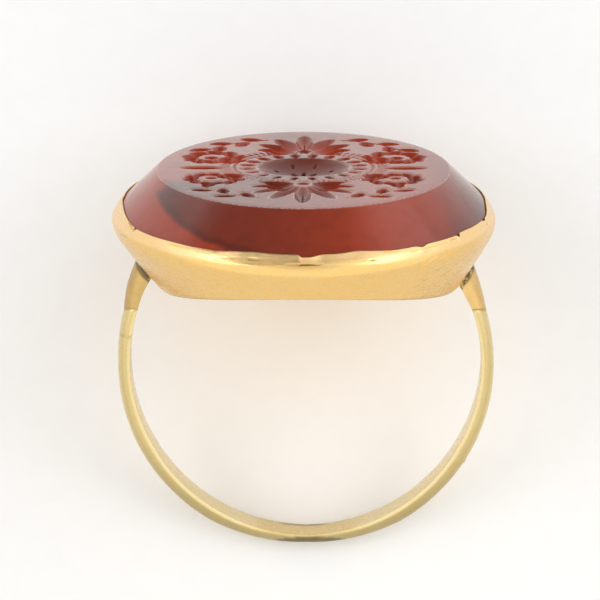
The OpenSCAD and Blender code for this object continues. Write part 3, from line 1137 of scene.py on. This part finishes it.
def light_room(scene):
    """White room round the table, darker overhead and brighter at two windows on the sides."""
    world = bpy.data.worlds.new("studio")
    scene.world = world
    world.use_nodes = True
    tree = world.node_tree
    ray = add(tree, "ShaderNodeTexCoord").outputs["Generated"]
    hue = (1.0, 1.0, 1.0)
    for way, start, full, shade in ROOM:
        share = ranged(tree, measured(tree, "DOT_PRODUCT", ray, way), start, full)
        hue = mixed(tree, share, hue, shade)
    feed(tree, tree.nodes["Background"], {"Color": hue, "Strength": ROOM_LIGHT})


def aimed(name, data, place, target, roll=0):
    """Lamp or camera at a place in metres, turned to a target and rolled in degrees."""
    thing = linked(name, data)
    thing.location = place
    thing.rotation_mode = "QUATERNION"
    way = (Vector(target) - thing.location).to_track_quat("-Z", "Y")
    thing.rotation_quaternion = way @ Quaternion((0, 0, 1), math.radians(roll))
    return thing


def soft_box(name, place, size, power):
    """Square soft lamp that faces the ring, with its place and size in metres."""
    lamp = bpy.data.lights.new(name, "AREA")
    lamp.size = size
    lamp.energy = power
    aimed(name, lamp, place, (0, 0, 0)).visible_camera = False


def set_camera(scene):
    """Camera at the photograph's angle."""
    data = bpy.data.cameras.new("camera")
    data.sensor_width = 36
    data.lens = CAMERA_LENS
    data.clip_start, data.clip_end = 0.005, 20
    place, target = Vector(CAMERA_AT) * MM, Vector(CAMERA_TO) * MM
    scene.camera = aimed("camera", data, place, target, CAMERA_ROLL)


# Operators


def golds(scene):
    """Colours of the rose gold, the yellow gold and their tarnish."""
    colours = scene.ring_colours
    return [list(colour) for colour in (colours.rose, colours.yellow, colours.tarnish)]


class RING_OT_bezel(bpy.types.Operator):
    """Make the gold cup that holds the stone"""

    bl_idname = "ring.bezel"
    bl_label = "Bezel"

    def execute(self, context):
        scene = context.scene
        rose, yellow, tarnish = golds(scene)
        gold = gold_material(
            "burnished_rose_gold", rose, blend_colour(rose, yellow, 0.3), tarnish, (6, 6, 1), True
        )
        make_piece(shape_bezel(Cup(scene.ring_bezel)), "bezel", gold, "setting", 40)
        return {"FINISHED"}


class RING_OT_hoop(bpy.types.Operator):
    """Make the hoop, its two shoulders and the solder at the bezel"""

    bl_idname = "ring.hoop"
    bl_label = "Hoop and shoulders"

    def execute(self, context):
        scene = context.scene
        rose, yellow, tarnish = golds(scene)
        band = Band(scene.ring_hoop, Cup(scene.ring_bezel))
        drawn_gold = gold_material(
            "drawn_yellow_gold", yellow, blend_colour(yellow, rose, 0.3), tarnish, (5, 5, 5), False
        )
        # painted shade: the shoulders' gold is a darker copy of the bezel's and hoop's gold
        shaded_gold = shaded(blend_colour(rose, yellow, 0.2), 0.82)
        forged = gold_material(
            "shaded_forged_rose_gold", shaded_gold, shaded(shaded_gold, 1.1), tarnish, (3, 3, 3), False
        )
        make_piece(shape_hoop(band), "hoop", drawn_gold, "setting", 60)
        make_piece(shape_shoulders(band), "shoulders", forged, "setting", 60)
        solder = solder_material("tarnished_solder", rose, tarnish)
        make_piece(shape_solder(band), "solder", solder, "setting", 60)
        return {"FINISHED"}


class RING_OT_stone(bpy.types.Operator):
    """Make the engraved seal stone"""

    bl_idname = "ring.stone"
    bl_label = "Seal stone"

    def execute(self, context):
        scene = context.scene
        bm = shape_stone(scene.ring_stone, Cup(scene.ring_bezel))
        material = carnelian_material(scene.ring_colours)
        make_piece(bm, "seal_stone", material, "stone", 50)
        return {"FINISHED"}


class RING_OT_stage(bpy.types.Operator):
    """Lay the floor, light the ring softly and set the camera"""

    bl_idname = "ring.stage"
    bl_label = "Stage"

    def execute(self, context):
        scene = context.scene
        scene.view_settings.view_transform = "Standard"
        lay_floor(paper_material(list(scene.ring_colours.floor)))
        light_room(scene)
        for name, side in (("key", -1), ("fill", 1)):
            soft_box(name, (side * 0.75, -0.05, 0.62), 0.45, 0.75)
        set_camera(scene)
        return {"FINISHED"}


class RING_PT_panel(bpy.types.Panel):
    """Panel with the ring's sizes, colours and steps"""

    bl_idname = "RING_PT_panel"
    bl_label = "Signet Ring"
    bl_space_type = "VIEW_3D"
    bl_region_type = "UI"
    bl_category = "Signet Ring"

    def draw(self, context):
        for group in GROUPS:
            settings = getattr(context.scene, group)
            self.layout.label(text=group.replace("_", " ").title())
            for name in settings.__annotations__:
                self.layout.prop(settings, name)
        for step in STEPS:
            self.layout.operator(step.bl_idname)


GROUPS = {
    "ring_hoop": HoopSizes,
    "ring_bezel": BezelSizes,
    "ring_stone": StoneSizes,
    "ring_colours": RingColours,
}
STEPS = (RING_OT_bezel, RING_OT_hoop, RING_OT_stone, RING_OT_stage)


def register():
    """Registers the sizes, the steps and the panel."""
    for group, kind in GROUPS.items():
        bpy.utils.register_class(kind)
        setattr(bpy.types.Scene, group, bpy.props.PointerProperty(type=kind))
    for kind in (*STEPS, RING_PT_panel):
        bpy.utils.register_class(kind)


def unregister():
    """Takes them off again."""
    for kind in (RING_PT_panel, *reversed(STEPS)):
        bpy.utils.unregister_class(kind)
    for group, kind in GROUPS.items():
        delattr(bpy.types.Scene, group)
        bpy.utils.unregister_class(kind)


def main():
    """Builds the ring step by step."""
    register()
    bpy.ops.ring.bezel()
    bpy.ops.ring.hoop()
    bpy.ops.ring.stone()
    bpy.ops.ring.stage()


if __name__ == "__main__":
    main()
